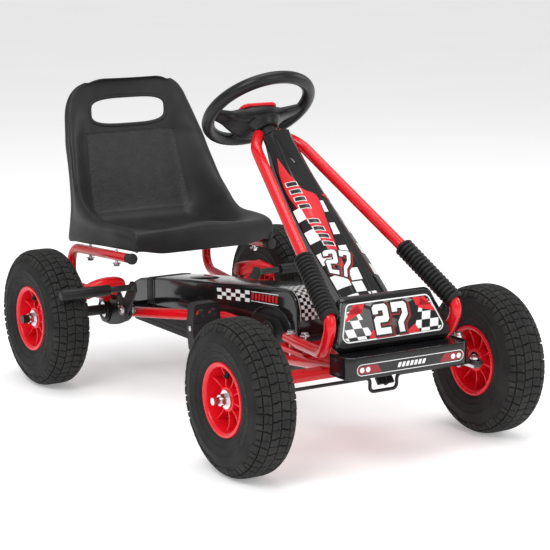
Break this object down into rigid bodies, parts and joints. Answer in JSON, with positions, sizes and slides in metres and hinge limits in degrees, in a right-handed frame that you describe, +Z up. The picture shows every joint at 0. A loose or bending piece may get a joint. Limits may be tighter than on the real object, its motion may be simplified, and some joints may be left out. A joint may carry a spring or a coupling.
{
  "type": "pedal go kart",
  "caption": "Ride-on pedal go kart with pneumatic tyres, chain drive in a case, steered front wheels, bucket seat and hand brakes that press on the rear tyres.",
  "frame": {"origin": "on the ground, under the centre of the kart's footprint", "axes": "+Z up, the kart faces -Y, the driver's right hand is on -X"},
  "size_m": [0.616, 0.9944, 0.6212],
  "materials": {
    "frame_paint": "gloss red powder coat",
    "black_paint": "semi-gloss black coat",
    "bellows_rubber": "satin black",
    "panel_plastic": "gloss black with printed decals",
    "case_plastic": "matt dark grey",
    "chain_steel": "oiled steel",
    "seat_plastic": "satin black, grained back panel",
    "cap_plastic": "matt black",
    "zinc_plate": "bright zinc",
    "wheel_plastic": "satin black",
    "red_plastic": "gloss red",
    "tyre_rubber": "matt black block tread",
    "tube_rubber": "matt black",
    "rim_plastic": "gloss red",
    "pedal_plastic": "satin black",
    "brake_rubber": "matt black"
  },
  "bodies": {
    "chassis": {"side_rail_right": "frame_paint", "side_rail_left": "frame_paint", "crank_plates": "frame_paint", "front_frame": "frame_paint", "front_axle_beam": "frame_paint", "steering_support_right": "frame_paint", "steering_support_left": "frame_paint", "bellows_right": "bellows_rubber", "bellows_left": "bellows_rubber", "fairing": "panel_plastic", "number_board": "panel_plastic", "front_bumper": "panel_plastic", "chain_case_upper": "panel_plastic", "chain_case_lower": "case_plastic", "drive_chain": "chain_steel", "seat_shell": "seat_plastic", "seat_support_right": "frame_paint", "seat_support_left": "frame_paint", "tube_end_caps": "cap_plastic", "frame_bolts": "zinc_plate", "axle_brackets": "black_paint", "axle_bearings": "zinc_plate", "crank_bearings": "zinc_plate", "column_bushes": "cap_plastic", "brake_springs": "zinc_plate"},
    "steering": {"steering_column": "black_paint", "steering_wheel": "wheel_plastic", "wheel_pad": "red_plastic", "wheel_bolt": "zinc_plate"},
    "tie_rod": {"tie_rod": "black_paint"},
    "knuckle_right": {"knuckle_right": "zinc_plate", "front_axle_nut_right": "zinc_plate"},
    "knuckle_left": {"knuckle_left": "zinc_plate", "front_axle_nut_left": "zinc_plate"},
    "front_wheel_right": {"front_tyre_right": "tyre_rubber", "front_rim_right": "rim_plastic", "front_bearings_right": "zinc_plate", "front_inner_tube_right": "tube_rubber"},
    "front_wheel_left": {"front_tyre_left": "tyre_rubber", "front_rim_left": "rim_plastic", "front_bearings_left": "zinc_plate", "front_inner_tube_left": "tube_rubber"},
    "rear_axle": {"rear_axle": "zinc_plate", "rear_sprocket": "chain_steel", "rear_tyre_right": "tyre_rubber", "rear_tyre_left": "tyre_rubber", "rear_rim_right": "rim_plastic", "rear_rim_left": "rim_plastic", "rear_axle_nuts": "zinc_plate", "rear_inner_tubes": "tube_rubber"},
    "crank": {"crankset": "black_paint", "chainring": "chain_steel"},
    "pedal_right": {"pedal_right": "pedal_plastic"},
    "pedal_left": {"pedal_left": "pedal_plastic"},
    "brake_right": {"brake_lever_right": "black_paint", "brake_grip_right": "red_plastic", "brake_shoe_right": "brake_rubber"},
    "brake_left": {"brake_lever_left": "black_paint", "brake_grip_left": "red_plastic", "brake_shoe_left": "brake_rubber"}
  },
  "joints": [
    {"name": "steering_turn", "type": "hinge", "parent": "chassis", "child": "steering", "pos_m": [0, -0.0185, 0.5474], "axis": [0, 0.6508, 0.7593], "range_deg": [-32, 32]},
    {"name": "tie_rod_slide", "type": "slide", "parent": "chassis", "child": "tie_rod", "axis": [1, 0, 0], "range_m": [-0.0196, 0.0196]},
    {"name": "knuckle_right_turn", "type": "hinge", "parent": "chassis", "child": "knuckle_right", "pos_m": [-0.19, -0.3672, 0.13], "axis": [0, 0, 1], "range_deg": [-24.5, 24.5]},
    {"name": "knuckle_left_turn", "type": "hinge", "parent": "chassis", "child": "knuckle_left", "pos_m": [0.19, -0.3672, 0.13], "axis": [0, 0, 1], "range_deg": [-24.5, 24.5]},
    {"name": "front_wheel_right_spin", "type": "hinge", "parent": "knuckle_right", "child": "front_wheel_right", "pos_m": [-0.25, -0.3672, 0.13], "axis": [1, 0, 0], "continuous": true},
    {"name": "front_wheel_left_spin", "type": "hinge", "parent": "knuckle_left", "child": "front_wheel_left", "pos_m": [0.25, -0.3672, 0.13], "axis": [1, 0, 0], "continuous": true},
    {"name": "rear_axle_spin", "type": "hinge", "parent": "chassis", "child": "rear_axle", "pos_m": [0, 0.3408, 0.13], "axis": [1, 0, 0], "continuous": true},
    {"name": "crank_spin", "type": "hinge", "parent": "chassis", "child": "crank", "pos_m": [0, -0.1312, 0.166], "axis": [1, 0, 0], "continuous": true},
    {"name": "pedal_right_spin", "type": "hinge", "parent": "crank", "child": "pedal_right", "pos_m": [-0.123, -0.0312, 0.166], "axis": [1, 0, 0], "continuous": true},
    {"name": "pedal_left_spin", "type": "hinge", "parent": "crank", "child": "pedal_left", "pos_m": [0.123, -0.2312, 0.166], "axis": [1, 0, 0], "continuous": true},
    {"name": "brake_right_pull", "type": "hinge", "parent": "chassis", "child": "brake_right", "pos_m": [-0.1365, 0.2488, 0.146], "axis": [-1, 0, 0], "range_deg": [0, 9], "stiffness_Nm_per_rad": 4, "springref_deg": -11.46},
    {"name": "brake_left_pull", "type": "hinge", "parent": "chassis", "child": "brake_left", "pos_m": [0.1365, 0.2488, 0.146], "axis": [-1, 0, 0], "range_deg": [0, 9], "stiffness_Nm_per_rad": 4, "springref_deg": -11.46}
  ],
  "couplings": [
    {"joint": "tie_rod_slide", "follows": "steering_turn", "m_per_rad": 0.0345},
    {"joint": "knuckle_right_turn", "follows": "steering_turn", "ratio": 0.75},
    {"joint": "knuckle_left_turn", "follows": "steering_turn", "ratio": 0.75},
    {"joint": "crank_spin", "follows": "rear_axle_spin", "ratio": 0.5}
  ]
}
